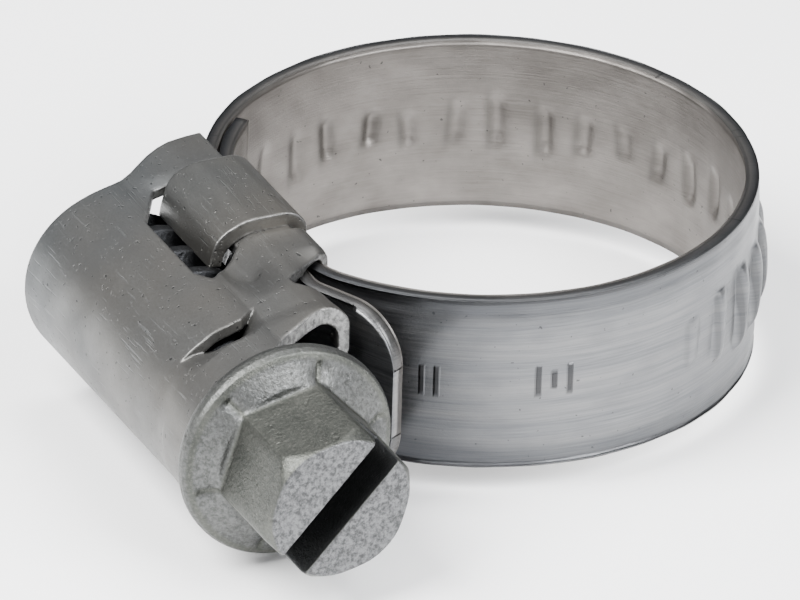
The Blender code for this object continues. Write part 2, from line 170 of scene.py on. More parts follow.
def skin(name, function, lo, hi, h):
    """The zero surface of a distance function as a quad mesh: one vertex in each crossed cell, then drawn onto the surface."""
    axes = [np.arange(lo[k], hi[k] + h, h, dtype=np.float32) for k in range(3)]
    value = function(axes[0][:, None, None], axes[1][None, :, None], axes[2][None, None, :]).astype(np.float32)
    value = np.broadcast_to(value, tuple(len(a) for a in axes))
    neg = value < 0
    count = np.zeros(tuple(n - 1 for n in value.shape), np.int8)
    for di in (0, 1):
        for dj in (0, 1):
            for dk in (0, 1):
                count += neg[di : di + count.shape[0], dj : dj + count.shape[1], dk : dk + count.shape[2]]
    active = (count > 0) & (count < 8)
    cells = np.argwhere(active)
    index = np.full(active.shape, -1, np.int32)
    index[active] = np.arange(len(cells))
    total, hits = np.zeros((len(cells), 3)), np.zeros(len(cells))
    corners = [(i, j, k) for i in (0, 1) for j in (0, 1) for k in (0, 1)]
    for a in corners:
        for axis in range(3):
            if a[axis]:
                continue
            b = list(a)
            b[axis] = 1
            va = value[cells[:, 0] + a[0], cells[:, 1] + a[1], cells[:, 2] + a[2]]
            vb = value[cells[:, 0] + b[0], cells[:, 1] + b[1], cells[:, 2] + b[2]]
            m = (va < 0) != (vb < 0)
            t = np.where(m, va / np.where(m, va - vb, 1), 0)
            p = np.array(a, float)[None, :] + t[:, None] * (np.array(b, float) - np.array(a, float))[None, :]
            total[m] += p[m]
            hits[m] += 1
    points = np.array([a[0] for a in axes], float) + (cells + total / hits[:, None]) * h
    quads = []
    for axis in range(3):
        o1, o2 = [(1, 2), (2, 0), (0, 1)][axis]
        sl0, sl1 = [slice(None)] * 3, [slice(None)] * 3
        sl0[axis], sl1[axis] = slice(0, -1), slice(1, None)
        a, b = neg[tuple(sl0)], neg[tuple(sl1)]
        at = np.argwhere(a != b)
        at = at[(at[:, o1] > 0) & (at[:, o2] > 0) & (at[:, o1] < value.shape[o1] - 1) & (at[:, o2] < value.shape[o2] - 1)]
        flip = ~a[at[:, 0], at[:, 1], at[:, 2]]
        ring = []
        for d1, d2 in ((-1, -1), (0, -1), (0, 0), (-1, 0)):
            c = at.copy()
            c[:, o1] += d1
            c[:, o2] += d2
            ring.append(index[c[:, 0], c[:, 1], c[:, 2]])
        quad = np.stack(ring, 1)
        quad[flip] = quad[flip][:, ::-1]
        quads.append(quad)
    quads = np.concatenate(quads)
    for _ in range(2):
        x, y, z = points.T
        e = 0.01
        f = function(x, y, z)
        g = np.stack([function(x + e, y, z) - f, function(x, y + e, z) - f, function(x, y, z + e) - f], 1) / e
        n2 = np.maximum((g * g).sum(1), 0.05)
        move = -(f / n2)[:, None] * g
        length = np.linalg.norm(move, axis=1, keepdims=True)
        points = points + move * np.minimum(1, 0.45 * h / np.maximum(length, 1e-9))
    return new_mesh(name, points, quads)


def new_mesh(name, points, faces):
    mesh = bpy.data.meshes.new(name)
    points = np.asarray(points, np.float32) * MM
    faces = np.asarray(faces, np.int32)
    mesh.vertices.add(len(points))
    mesh.vertices.foreach_set("co", points.ravel())
    mesh.loops.add(faces.size)
    mesh.loops.foreach_set("vertex_index", faces.ravel())
    mesh.polygons.add(len(faces))
    mesh.polygons.foreach_set("loop_start", np.arange(0, faces.size, faces.shape[1], dtype=np.int32))
    mesh.update(calc_edges=True)
    mesh.validate()
    bm = bmesh.new()
    bm.from_mesh(mesh)
    bmesh.ops.recalc_face_normals(bm, faces=bm.faces)
    bm.to_mesh(mesh)
    bm.free()
    mesh.shade_smooth()
    obj = bpy.data.objects.new(name, mesh)
    bpy.context.scene.collection.objects.link(obj)
    return obj


def paint(obj, name, function):
    """A value at each vertex, from its place in millimetres."""
    mesh = obj.data
    co = np.empty(len(mesh.vertices) * 3, np.float32)
    mesh.vertices.foreach_get("co", co)
    x, y, z = (co.reshape(-1, 3) / MM).T
    layer = mesh.attributes.new(name, "FLOAT", "POINT")
    layer.data.foreach_set("value", np.ascontiguousarray(np.broadcast_to(function(x, y, z), x.shape), np.float32))


# ---------------------------------------------------------------- materials
class Nodes:
    def __init__(self, name):
        self.material = bpy.data.materials.new(name)
        self.material.use_nodes = True
        self.tree = self.material.node_tree
        self.shader = self.tree.nodes["Principled BSDF"]

    def add(self, kind, **values):
        node = self.tree.nodes.new(kind)
        for key, value in values.items():
            if hasattr(node, key):
                setattr(node, key, value)
            else:
                node.inputs[key.replace("_", " ")].default_value = value
        return node

    def link(self, a, b):
        self.tree.links.new(a, b)

    def math(self, operation, a, b=None, clamp=False):
        node = self.add("ShaderNodeMath", operation=operation, use_clamp=clamp)
        for socket, value in zip(node.inputs, (a, b)):
            if value is None:
                continue
            if isinstance(value, (int, float)):
                socket.default_value = value
            else:
                self.link(value, socket)
        return node.outputs[0]

    def coords(self, source="Object", scale=(1, 1, 1), rotation=(0, 0, 0)):
        texture = self.add("ShaderNodeTexCoord")
        mapping = self.add("ShaderNodeMapping")
        mapping.inputs["Scale"].default_value = scale
        mapping.inputs["Rotation"].default_value = rotation
        self.link(texture.outputs[source], mapping.inputs["Vector"])
        return mapping.outputs[0]

    def noise(self, vector, scale, detail=3.0, rough=0.5, distortion=0.0):
        node = self.add("ShaderNodeTexNoise")
        node.inputs["Scale"].default_value = scale
        node.inputs["Detail"].default_value = detail
        node.inputs["Roughness"].default_value = rough
        node.inputs["Distortion"].default_value = distortion
        self.link(vector, node.inputs["Vector"])
        return node.outputs["Fac"]

    def ramp(self, value, low, high, a=0.0, b=1.0):
        node = self.add("ShaderNodeMapRange")
        node.inputs["From Min"].default_value, node.inputs["From Max"].default_value = low, high
        node.inputs["To Min"].default_value, node.inputs["To Max"].default_value = a, b
        self.link(value, node.inputs["Value"])
        return node.outputs["Result"]

    def mix(self, factor, a, b):
        node = self.add("ShaderNodeMix", data_type="RGBA")
        self.link(factor, node.inputs[0]) if not isinstance(factor, float) else setattr(node.inputs[0], "default_value", factor)
        for socket, value in ((node.inputs[6], a), (node.inputs[7], b)):
            if isinstance(value, tuple):
                socket.default_value = (*value, 1.0)
            else:
                self.link(value, socket)
        return node.outputs[2]

    def attribute(self, name):
        return self.add("ShaderNodeAttribute", attribute_name=name).outputs["Fac"]

    def bump(self, height, distance, strength=1.0, previous=None):
        node = self.add("ShaderNodeBump")
        node.inputs["Distance"].default_value = distance
        node.inputs["Strength"].default_value = strength
        self.link(height, node.inputs["Height"])
        if previous is not None:
            self.link(previous, node.inputs["Normal"])
        return node.outputs["Normal"]

    def finish(self, colour, roughness, normal, metallic=1.0):
        self.link(colour, self.shader.inputs["Base Color"])
        self.link(roughness, self.shader.inputs["Roughness"])
        self.link(normal, self.shader.inputs["Normal"])
        self.shader.inputs["Metallic"].default_value = metallic
        return self.material


def sheet_steel(name, dark, light, cut_colour, rough=0.44):
    """Pressed stainless sheet: cloudy grey, fine grain, drag scratches and small pits; the painted value cut marks sheared edges."""
    m = Nodes(name)
    v = m.coords()
    cloud = m.ramp(m.noise(v, 330, 4, 0.55), 0.3, 0.7)
    patch = m.ramp(m.noise(v, 110, 2, 0.5), 0.35, 0.68)
    grain = m.noise(v, 9000, 2, 0.6)
    scratch = m.noise(m.coords(scale=(450, 9000, 6200), rotation=(0.2, 0.35, 0.9)), 1.0, 2, 0.5)
    scratch = m.ramp(scratch, 0.62, 0.70)
    scratch = m.math("MULTIPLY", scratch, m.ramp(m.noise(v, 260, 1), 0.46, 0.56))
    pit = m.ramp(m.noise(v, 4200, 2, 0.5), 0.335, 0.28)
    colour = m.mix(cloud, dark, light)
    warm = tuple(c * k for c, k in zip(light, (1.22, 1.04, 0.86)))
    colour = m.mix(m.math("MULTIPLY", patch, 0.45), colour, warm)
    colour = m.mix(m.math("MULTIPLY", m.ramp(grain, 0.35, 0.75), 0.22), colour, tuple(c * 1.35 for c in light))
    colour = m.mix(m.math("MULTIPLY", scratch, 0.4), colour, tuple(c * 1.6 for c in light))
    colour = m.mix(m.math("MULTIPLY", pit, 0.75), colour, tuple(c * 0.25 for c in dark))
    cut = m.attribute("cut")
    speckle = m.ramp(m.noise(v, 3600, 3, 0.65), 0.36, 0.60)
    cut_tone = m.mix(speckle, tuple(c * 0.42 for c in cut_colour), cut_colour)
    colour = m.mix(cut, colour, cut_tone)
    roughness = m.ramp(cloud, 0.0, 1.0, rough + 0.05, rough - 0.04)
    roughness = m.math("ADD", roughness, m.math("MULTIPLY", grain, 0.06))
    height = m.math("ADD", m.math("MULTIPLY", grain, 0.35), m.math("MULTIPLY", pit, -1.6))
    height = m.math("ADD", height, m.math("MULTIPLY", scratch, -0.6))
    height = m.math("ADD", height, m.math("MULTIPLY", m.noise(v, 700, 2), 1.2))
    height = m.math("ADD", height, m.math("MULTIPLY", m.math("MULTIPLY", cut, m.noise(v, 3600, 3, 0.65)), 2.2))
    return m.finish(colour, roughness, m.bump(height, 0.00002, 0.8))


def band_steel(name):
    """Rolled band: fine lines along the strip, darker and finer near its edges; u runs along the strip and v across it, in millimetres."""
    m = Nodes(name)
    uv = m.coords("UV", (1, 1, 1))
    fine = m.noise(m.coords("UV", (0.22, 9.0, 1)), 1.0, 4, 0.62)
    wide = m.noise(m.coords("UV", (0.05, 1.6, 1)), 1.0, 3, 0.5)
    cloud = m.noise(m.coords("UV", (0.35, 0.55, 1)), 1.0, 3, 0.55)
    grain = m.noise(m.coords("UV", (6.0, 14.0, 1)), 1.0, 2, 0.6)
    inside = m.attribute("inside")
    outer = m.mix(m.ramp(fine, 0.32, 0.68), (0.105, 0.109, 0.116), (0.178, 0.180, 0.184))
    outer = m.mix(m.math("MULTIPLY", m.ramp(wide, 0.42, 0.7), 0.55), outer, (0.21, 0.208, 0.206))
    outer = m.mix(m.math("MULTIPLY", m.ramp(cloud, 0.5, 0.75), 0.35), outer, (0.09, 0.093, 0.10))
    inner = m.mix(m.ramp(cloud, 0.3, 0.7), (0.125, 0.115, 0.106), (0.20, 0.186, 0.173))
    inner = m.mix(m.math("MULTIPLY", m.ramp(fine, 0.4, 0.7), 0.3), inner, (0.235, 0.222, 0.21))
    colour = m.mix(inside, outer, inner)
    # Darker on the rolled edges; on the inner face this also paints shade along the dents.
    edge = m.attribute("edge")
    colour = m.mix(m.math("MULTIPLY", edge, 0.6), colour, (0.05, 0.048, 0.045))
    speck = m.ramp(m.noise(uv, 3.2, 2, 0.5), 0.30, 0.26)
    colour = m.mix(m.math("MULTIPLY", speck, 0.7), colour, (0.03, 0.03, 0.03))
    # Painted shade: darker beside the housing and near both edges of the outer face.
    colour = m.mix(m.math("MULTIPLY", m.attribute("shade"), 0.62), colour, (0.035, 0.037, 0.042))
    # Stamped ticks, and painted shade along the steep side of each rib, near black.
    stamp_and_rib_shade = m.attribute("stamp_and_rib_shade")
    colour = m.mix(m.math("MULTIPLY", stamp_and_rib_shade, 0.8), colour, (0.02, 0.02, 0.021))
    roughness = m.ramp(fine, 0.3, 0.7, 0.34, 0.44)
    roughness = m.math("ADD", roughness, m.math("MULTIPLY", inside, 0.08))
    height = m.math("ADD", m.math("MULTIPLY", fine, 1.2), m.math("MULTIPLY", grain, 0.5))
    height = m.math("ADD", height, m.math("MULTIPLY", cloud, 1.5))
    height = m.math("ADD", height, m.math("MULTIPLY", stamp_and_rib_shade, -5.0))
    return m.finish(colour, roughness, m.bump(height, 0.00002, 0.75))


def screw_steel(name):
    """Cold-headed screw: a dull skin, and speckled bright faces where the painted value bright is 1; dark painted shade
    where it is -1.
    """
    m = Nodes(name)
    v = m.coords()
    cloud = m.ramp(m.noise(v, 420, 4, 0.55), 0.3, 0.7)
    grain = m.noise(v, 7500, 2, 0.6)
    speckle = m.noise(v, 4600, 3, 0.7)
    spots = m.ramp(m.noise(v, 1500, 3, 0.6), 0.40, 0.30)
    dull = m.mix(cloud, (0.052, 0.055, 0.05), (0.095, 0.098, 0.088))
    dull = m.mix(m.math("MULTIPLY", m.ramp(grain, 0.45, 0.7), 0.3), dull, (0.17, 0.167, 0.15))
    bright = m.mix(m.ramp(speckle, 0.38, 0.60), (0.06, 0.061, 0.062), (0.145, 0.147, 0.15))
    bright = m.mix(m.math("MULTIPLY", spots, 0.7), bright, (0.035, 0.035, 0.036))
    zone = m.attribute("bright")
    colour = m.mix(m.math("MAXIMUM", zone, 0.0), dull, bright)
    # Painted shade: the slot and the screw's length inside the housing go near black.
    colour = m.mix(m.math("MAXIMUM", m.math("MULTIPLY", zone, -1.0), 0.0), colour, (0.03, 0.031, 0.033))
    roughness = m.ramp(speckle, 0.3, 0.7, 0.55, 0.42)
    height = m.math("ADD", m.math("MULTIPLY", speckle, 2.4), m.math("MULTIPLY", grain, 0.8))
    height = m.math("ADD", height, m.math("MULTIPLY", spots, -1.5))
    return m.finish(colour, roughness, m.bump(height, 0.00002, 0.8))


# ---------------------------------------------------------------- band
def path_normals(path):
    out = []
    for i in range(len(path)):
        a, b = path[max(i - 1, 0)], path[min(i + 1, len(path) - 1)]
        dx, dy = unit(b[0] - a[0], b[1] - a[1])
        out.append((dy, -dx))
    return np.array(out)


def resample(path, stations):
    p = np.array(path)
    s = np.concatenate([[0], np.cumsum(np.hypot(*np.diff(p, axis=0).T))])
    return np.stack([np.interp(stations, s, p[:, 0]), np.interp(stations, s, p[:, 1])], 1)


def path_length(path):
    return float(np.hypot(*np.diff(np.array(path), axis=0).T).sum())


def rib_height(s, z, ribs, half, strength, slant):
    """Height of the pressed ribs, one side of each steeper than the other."""
    h = np.zeros(np.broadcast(s, z).shape)
    for r, w, k in zip(ribs, half, strength):
        d = s - r - slant * z
        along = np.where(d < 0, 1 - (d / 0.34) ** 2, 1 - (d / 0.62) ** 2)
        across = 1 - (np.abs(z) / w) ** 3
        h = np.maximum(h, k * np.clip(along, 0, 1) ** 0.8 * np.clip(across, 0, 1) ** 0.6)
    return h


def strip(name, path, stations, columns, ribs=(), rib_half=(), rib_strength=(), slant=0.0, half_width=None, marks=(), shade=None):
    """Band steel along a path in XY as one closed skin: outer face to the path's right, rolled edges, pressed ribs, lines rolled near the edges."""
    c = resample(path, stations)
    n = path_normals([tuple(p) for p in c])
    half = np.array([half_width(s) if half_width else BAND_WIDTH / 2 for s in stations])
    t = BAND_THICK / 2
    # Section across the strip: (share of half width, outward offset), outer face, edge, inner face, edge.
    face = [(k, t) for k in columns]
    r = 0.22
    edge = [(r * math.sin(math.radians(a)), r * math.cos(math.radians(a))) for a in (30, 60, 90)]
    rows, uvs, inside, edges, marked = [], [], [], [], []
    cols = list(columns)
    section = []
    for k in cols:
        section.append((k, 0.0, t, 0.0, 0.0))
    for dz, dn in edge:
        section.append((1.0, dz - r, t - r + dn, 0.0, 1.0))
    for dz, dn in reversed(edge):
        section.append((1.0, dz - r, -(t - r + dn), 0.5, 1.0))
    for k in reversed(cols):
        section.append((k, 0.0, -t, 1.0, 0.0))
    for dz, dn in edge:
        section.append((-1.0, -(dz - r), -(t - r + dn), 0.5, 1.0))
    for dz, dn in reversed(edge):
        section.append((-1.0, -(dz - r), t - r + dn, 0.0, 1.0))
    s = np.array(stations)[:, None]
    k = np.array([q[0] for q in section])[None, :]
    dz = np.array([q[1] for q in section])[None, :]
    off = np.array([q[2] for q in section])[None, :]
    ins = np.array([q[3] for q in section])[None, :]
    edg = np.array([q[4] for q in section])[None, :]
    z = k * (half[:, None] - np.where(np.abs(k) < 1, r, 0)) + dz
    az = np.abs(z)
    # A shallow rolled step and two fine lines beside each edge of the outer face.
    roll_off = -0.07 * smooth(3.35, 3.75, az) - 0.035 * np.exp(-(((az - 3.95) / 0.09) ** 2)) - 0.03 * np.exp(-(((az - 3.3) / 0.08) ** 2))
    wave = 0.018 * np.sin(s * 0.9 + 1.3 * z) + 0.012 * np.sin(s * 2.3 - 2.1 * z)
    outer = (off > 0) & (edg == 0)
    h = rib_height(s, z, ribs, rib_half, rib_strength, slant) if len(ribs) else np.zeros_like(z)
    dent, dent_shade, cut = np.zeros_like(z), np.zeros_like(z), np.zeros_like(z)
    for i, (rib, k) in enumerate(zip(ribs, rib_strength)):
        tall = 1.15 + 0.25 * math.sin(5.1 * i)
        lean = 0.10 * math.sin(3.7 * i + 1.0)
        d = s - rib - lean * z - 0.12 * math.sin(2.9 * i)
        near = np.clip(np.abs(z - 0.2 * math.sin(4.3 * i)) / tall, 0, 2)
        dent = np.maximum(dent, k / 0.48 * (0.75 + 0.25 * math.sin(7.7 * i)) * np.exp(-((d / 0.36) ** 2)) * (1 - smooth(0.45, 1.15, near)))
        # Painted shade on the inner face: two dark lines along the sides of each dent.
        pair = np.exp(-(((d - 0.45) / 0.20) ** 2)) + (0.6 + 0.4 * math.sin(6.1 * i)) * np.exp(-(((d + 0.5) / 0.26) ** 2))
        dent_shade = np.maximum(dent_shade, k / 0.48 * pair * (1 - smooth(0.6, 1.5, near)))
        # Painted shade: a dark line along the steep side of each rib.
        cut = np.maximum(cut, k / 0.48 * np.exp(-(((s - rib + 0.24) / 0.13) ** 2)) * (1 - smooth(0.75, 0.95, np.abs(z) / max(rib_half[i], 0.1))))
    push = np.where(off > 0, h, 0.30 * dent)
    out = off + push + np.where(outer, np.where(half[:, None] > 4.49, roll_off + wave, 0), 0) + np.where((off < 0) & (edg == 0), 0.6 * wave, 0)
    x = c[:, 0][:, None] + n[:, 0][:, None] * out
    y = c[:, 1][:, None] + n[:, 1][:, None] * out
    pts = np.stack([x, y, np.broadcast_to(z, x.shape)], 2)
    nrow, ncol = x.shape
    ids = np.arange(nrow * ncol).reshape(nrow, ncol)
    a, b = ids[:-1, :], ids[1:, :]
    an, bn = np.roll(a, -1, 1), np.roll(b, -1, 1)
    quads = np.stack([a, b, bn, an], 2).reshape(-1, 4)
    # End faces: pair the outer and the inner face's columns.
    m = len(cols)
    caps = []
    top = list(range(ncol))
    outer_ids = [ncol - 3, ncol - 2, ncol - 1] + list(range(0, m + 3))
    inner_ids = [ncol - 4, ncol - 5, ncol - 6] + list(reversed(range(m + 3, 2 * m + 6)))
    for row in (0, nrow - 1):
        for (o0, i0), (o1, i1) in zip(zip(outer_ids, inner_ids), list(zip(outer_ids, inner_ids))[1:]):
            caps.append((ids[row, o0], ids[row, o1], ids[row, i1], ids[row, i0]))
    faces = np.concatenate([quads, np.array(caps, np.int32)])
    obj = new_mesh(name, pts.reshape(-1, 3), faces)
    mesh = obj.data
    along = np.broadcast_to(s, x.shape).ravel()
    across = np.broadcast_to(z, x.shape).ravel()
    # The value edge darkens the rolled edges and the outer face near them, and carries the painted shade along the
    # dents on the inner face.
    for attr, value in (("inside", np.broadcast_to(ins, x.shape)), ("edge", np.clip(np.broadcast_to(edg, x.shape) + 0.5 * smooth(4.0, 4.3, az) + np.where(off < 0, 0.75 * dent_shade, 0), 0, 1))):
        layer = mesh.attributes.new(attr, "FLOAT", "POINT")
        layer.data.foreach_set("value", np.ascontiguousarray(value, np.float32).ravel())
    # The photo's darker tone beside the housing and near both edges, painted on and not lit.
    painted_shade = shade(s, z) if shade else np.zeros(x.shape)
    layer = mesh.attributes.new("shade", "FLOAT", "POINT")
    layer.data.foreach_set("value", np.ascontiguousarray(np.broadcast_to(np.where(off > 0, painted_shade, 0), x.shape), np.float32).ravel())
    stamp_and_rib_shade = np.zeros(x.shape)
    for m_s, m_z, m_l, m_w in marks:
        stamp_and_rib_shade = np.maximum(stamp_and_rib_shade, np.where(outer, np.clip(1 - np.maximum(np.abs(s - m_s) - m_w, np.abs(z - m_z) - m_l) / 0.06, 0, 1), 0))
    # On the ring, painted shade along each rib's steep side joins the stamped ticks.
    if shade:
        stamp_and_rib_shade = np.maximum(stamp_and_rib_shade, np.where(outer, 0.85 * np.broadcast_to(cut, x.shape), 0))
    layer = mesh.attributes.new("stamp_and_rib_shade", "FLOAT", "POINT")
    layer.data.foreach_set("value", np.ascontiguousarray(stamp_and_rib_shade, np.float32).ravel())
    uv = mesh.uv_layers.new(name="UVMap")
    loops = np.empty(len(mesh.loops), np.int32)
    mesh.loops.foreach_get("vertex_index", loops)
    uv.data.foreach_set("uv", np.stack([along[loops], across[loops]], 1).astype(np.float32).ravel())
    return obj


def tangent_blend(lap_y, ring_r, blend_r):
    x0 = math.sqrt((ring_r - blend_r) ** 2 - (lap_y + blend_r) ** 2)
    return x0, math.degrees(math.atan2(x0, -(lap_y + blend_r)))


ring_mid = RING_OUTER_R - BAND_THICK / 2
inner_mid = ring_mid - BAND_THICK - 0.1
head_x, head_deg = tangent_blend(FIXED_LAP_Y, ring_mid, 5.0)
tail_x, tail_deg = tangent_blend(TAIL_LAP_Y, ring_mid, 4.0)
end_x, end_deg = tangent_blend(FIXED_LAP_Y, inner_mid, 4.0)
ring_path = arc(0, 0, inner_mid, 270 - math.degrees(math.asin(8.7 / inner_mid)), 270 - end_deg, 20)
ring_path += arc(-end_x, FIXED_LAP_Y + 4.0, 4.0, 270 - end_deg, 270, 16)[1:]
ring_path += arc(head_x, FIXED_LAP_Y + 5.0, 5.0, 270, 270 + head_deg, 16)
head_s = path_length(ring_path)
ring_path += arc(0, 0, ring_mid, 270 + head_deg, 270 + 360 - tail_deg, 260)[1:]
ring_path += arc(-tail_x, TAIL_LAP_Y + 4.0, 4.0, 270 - tail_deg, 270, 16)[1:]
ring_path += [(-tail_x + 0.4, TAIL_LAP_Y)]
ring_total = path_length(ring_path)
ring_end_x = ring_path[-1][0]
ribs = [ring_total - (RIB_X0 - ring_end_x) - k * RIB_PITCH for k in range(1, RING_RIBS + 1)]
ribs = [r for r in ribs if r < ring_total - 0.8]
first = sorted(ribs)[:2]
rib_half = [1.3 if r == first[0] else 1.9 if r == first[1] else 2.15 for r in ribs]
rib_strength = [0.16 if r == first[0] else 0.34 if r == first[1] else 0.48 for r in ribs]
rib_from = min(ribs) - 1.2


def ring_station(degrees):
    """Distance along the ring's strip of the point at an angle from +X."""
    return head_s + math.radians((degrees - (270 + head_deg)) % 360) * ring_mid


# Plain stamped ticks, a mark with no letters in it.
marks = []
for k in range(5):
    marks.append((ring_station(300.5) + k * 0.72, 0.15, 1.0 if k % 2 == 0 else 0.55, 0.09))
for k in range(2):
    marks.append((ring_station(323) + k * 0.7, 0.1, 0.75, 0.09))
for k in range(3):
    marks.append((ring_station(347) + k * 0.75, 0.1, 0.75 if k != 1 else 0.4, 0.09))
mark_zones = [(m[0] - 0.2, m[0] + 0.2) for m in marks]
stations, s = [], 0.0
while s < ring_total:
    stations.append(s)
    near_rib = s > rib_from
    near_mark = any(a < s < b for a, b in mark_zones)
    s += 0.035 if near_mark else 0.13 if near_rib else 0.3 if not any(a - 0.35 < s < b for a, b in mark_zones) else 0.1
stations = stations[:-1] + [ring_total] if ring_total - stations[-1] < 0.05 else stations + [ring_total]
columns = [k / 32 for k in range(-32, 33)]
columns = [math.copysign(abs(k) ** 1.0, k) for k in columns]
# Its last argument paints shade on the outer face: darker beside the housing and near both edges.
band_ring = strip("band_ring_strip", ring_path, stations, columns, ribs, rib_half, rib_strength, 0.09, None, marks, lambda s, z: np.clip(0.85 * (1 - smooth(head_s + 2.0, head_s + 12.0, s)) + 0.75 * smooth(2.6, 4.3, np.abs(z)), 0, 1))

free_end = 26.0
tail_from = ring_end_x + 0.08
turned = math.radians(free_end)
tip_path = rounded([(tail_from, TAIL_LAP_Y, 0), (7.35, TAIL_LAP_Y, 2.0), (7.35 + 5.3 * math.cos(turned), TAIL_LAP_Y + 5.3 * math.sin(turned), 0)], 3)
tip_total = path_length(tip_path)
CORNER = 2.8
tip_stations = [k * 0.2 for k in range(int((tip_total - CORNER) / 0.2) + 1)]
tip_stations += [tip_total - CORNER + CORNER * math.sin(math.radians(a)) for a in range(4, 87, 4)] + [tip_total - 0.004]
tip_stations = sorted(tip_stations)
tip_stations = [a for a, b in zip(tip_stations, tip_stations[1:] + [99.0]) if b - a > 0.02]


def tip_half(s):
    d = max(0.0, s - (tip_total - CORNER))
    return BAND_WIDTH / 2 - CORNER + math.sqrt(max(0.0, CORNER**2 - d * d))


tail_ribs = [RIB_X0 + k * RIB_PITCH - tail_from for k in range(-2, 4)]
tail_ribs = [r for r in tail_ribs if 0.75 < r < 5.4 - tail_from - 0.4]
HELIX = RIB_PITCH / (2 * math.pi * 3.9)
band_free = strip("band_free_strip", tip_path, tip_stations, [k / 24 for k in range(-24, 25)], tail_ribs, [2.1] * len(tail_ribs), [0.45] * len(tail_ribs), HELIX, tip_half)

# ---------------------------------------------------------------- housing
mid_r = BARREL_R - SHEET / 2


def barrel_from(leave):
    return [(SCREW_Y + mid_r * math.cos(math.radians(a)), mid_r * math.sin(math.radians(a))) for a in np.linspace(leave, 180, 60)]


section_tail = rounded([(-10.79, 3.5, 0), (-10.79, 4.87, 0.55), (-13.3, 4.87, 2.6), (-15.2, 4.60, 3.0), (SCREW_Y + mid_r * math.cos(math.radians(88)), mid_r * math.sin(math.radians(88)), 0)]) + barrel_from(88)[1:]
section_mid = rounded([(-10.79, 3.5, 0), (-10.79, 4.87, 0.55), (-13.35, 4.87, 1.5), (-14.75, 4.16, 1.3), (-15.6, 4.16, 0.8), (SCREW_Y + mid_r * math.cos(math.radians(81.5)), mid_r * math.sin(math.radians(81.5)), 0)]) + barrel_from(81.5)[1:]
section_front = rounded([(-12.22, 2.9, 0), (-12.3, 4.88, 1.15), (-14.1, 4.88, 4.0), (SCREW_Y + mid_r * math.cos(math.radians(83)), mid_r * math.sin(math.radians(83)), 0)]) + barrel_from(83)[1:]
limits = ((-22.0, 0.0), (-9.8, 6.2))
field_tail = Field(*limits, lambda a, b: segment_distance(a, b, section_tail))
field_mid = Field(*limits, lambda a, b: segment_distance(a, b, section_mid))
field_front = Field(*limits, lambda a, b: segment_distance(a, b, section_front))

TAIL_Y = [-21.3, -19.9, -18.6, -17.7, -17.1, -16.5, -15.9, -15.3, -14.6, -13.9, -13.2, -12.3, -11.0]
TAIL_X = [-5.03, -4.87, -4.74, -4.74, -4.82, -5.02, -5.36, -5.82, -6.32, -6.68, -6.90, -7.07, -7.18]
FRONT_Y, FRONT_X = [-17.6, -16.9, -15.83, -13.6, -13.0], [13.2, 12.85, 12.0, 11.0, 10.95]
window = [(-0.75, -16.95), (4.55, -16.95), (5.15, -16.55), (3.05, -14.45), (-3.3, -14.4), (-3.25, -15.45), (-1.75, -16.35)]
window_field = Field((-8.0, -22.0), (14.0, -9.8), lambda a, b: polygon_distance(a, b, window) - 0.2)
notch = [(5.1, -9.0), (5.5, -10.6), (6.5, -12.2), (7.3, -13.2), (7.6, -13.5), (8.0, -13.45), (8.4, -13.1), (8.75, -12.7), (9.3, -12.5), (10.1, -12.42), (10.3, -9.0)]
notch_field = Field((-8.0, -22.0), (14.0, -9.8), lambda a, b: polygon_distance(a, b, notch) - 0.1)
SLIT_A, SLIT_X = [81.5, 93.2, 102.5, 113.2, 121.0, 138.0], [8.85, 9.57, 9.74, 9.73, 9.83, 9.79]
SLIT_DA, SLIT_D = [81.5, 86.0, 92.0, 98.0, 106.0, 114.0, 122.0, 130.0, 138.0], [0.0, 0.55, 1.05, 1.30, 1.28, 1.05, 0.70, 0.28, 0.0]


def sheet_at(x, y, az):
    tail = field_tail(y, az)
    mid = field_mid(y, az)
    front = field_front(y, az)
    w1, w2 = smooth(-4.6, -1.2, x), smooth(5.0, 8.4, x)
    d = tail * (1 - w1) + mid * w1
    d = d * (1 - w2) + front * w2 - SHEET / 2 - 0.05 * smooth(9.9, 10.9, x)
    lip = field_front(y + 0.10, az + 0.24) - SHEET / 2 + 3.0 * (1 - smooth(9.8, 10.8, x))
    return np.minimum(d, lip)


def housing_shape(x, y, z):
    az = np.abs(z)
    angle = np.degrees(np.arctan2(az, y - SCREW_Y))
    slit = np.interp(angle, SLIT_A, SLIT_X)
    depth = np.interp(angle, SLIT_DA, SLIT_D)
    plain = sheet_at(x, y, az)
    r = np.maximum(np.hypot(y - SCREW_Y, az), 1e-6)
    fall = np.clip(1 - (x - slit) / 1.5, 0, 1)
    press = np.where(x > slit - 0.2, depth * fall**1.25, 0)
    pressed = sheet_at(x, y + press * (y - SCREW_Y) / r, az + press * az / r)
    rear = smax(plain, (x - slit), 0.05)
    ahead = smax(pressed, slit - 0.12 - x, 0.05)
    d = np.where(depth > 0.001, np.minimum(rear, ahead), plain)
    tail_edge = np.interp(y, TAIL_Y, TAIL_X)
    front_edge = np.interp(y, FRONT_Y, FRONT_X)
    d = smax(d, (tail_edge - x) * 0.9, 0.10)
    d = smax(d, (x - front_edge) * 0.85, 0.06)
    d = smax(d, -window_field(x, y), 0.10)
    d = smax(d, -np.maximum(notch_field(x, y), 3.2 - az), 0.07)
    # The shoulder stops short of the ring except at the folded tab and the leg.
    trim = np.minimum(y + 11.4, 3.15 - x)
    d = smax(d, trim, 0.10)
    trim = np.minimum(y + 12.75, np.minimum(x - 6.6, np.minimum(9.9 - x, 4.5 - az)))
    d = smax(d, trim, 0.10)
    d = smax(d, np.minimum(x - 7.0, y + 11.98), 0.08)
    return smax(d, np.minimum(-az + 1.0, y + 16.0), 0.1)


H = 0.08
housing = skin("housing_shell", housing_shape, (-7.5, -21.7, -5.5), (13.5, -10.2, 5.5), H)


